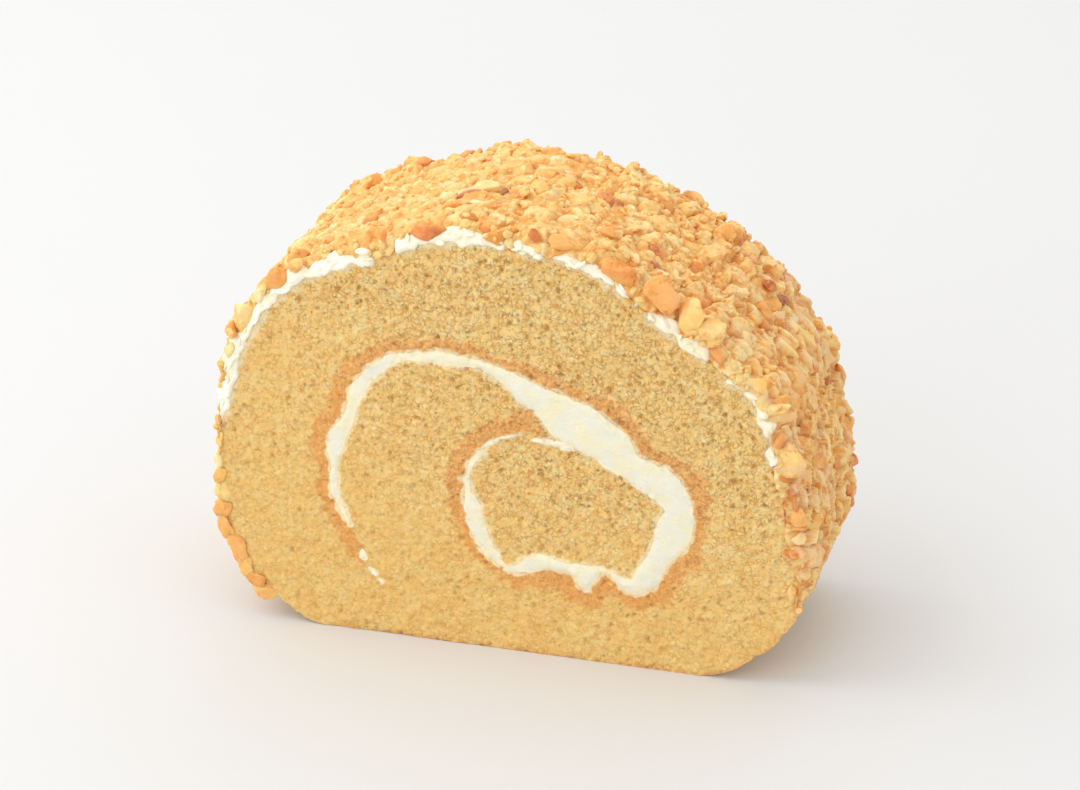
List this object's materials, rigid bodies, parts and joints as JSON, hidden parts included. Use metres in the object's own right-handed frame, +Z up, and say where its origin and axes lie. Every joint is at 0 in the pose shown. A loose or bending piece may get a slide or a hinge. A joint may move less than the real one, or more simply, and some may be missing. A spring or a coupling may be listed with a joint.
{
  "type": "swiss roll cake slice",
  "caption": "Upright slice of swiss roll: tan sponge with a cream swirl at both cut faces, a thin cream coat and a chopped nut crust over the top and sides, and a flat base.",
  "frame": {"origin": "middle of the flat base, under the middle of the slice's box", "axes": "+X across the cut face to its right, +Y from the front cut face to the back one, +Z up"},
  "size_m": [0.0922, 0.035, 0.0683],
  "materials": {
    "sponge": "matte open crumb with fine pores, browned skin along the swirl",
    "cream": "soft satin whipped cream",
    "chopped_nuts": "satin roasted chopped nuts, pale yellow to amber"
  },
  "bodies": {
    "root": {"sponge": "sponge", "cream_filling": "cream", "cream_coat": "cream", "nut_crust": "chopped_nuts"}
  },
  "joints": []
}
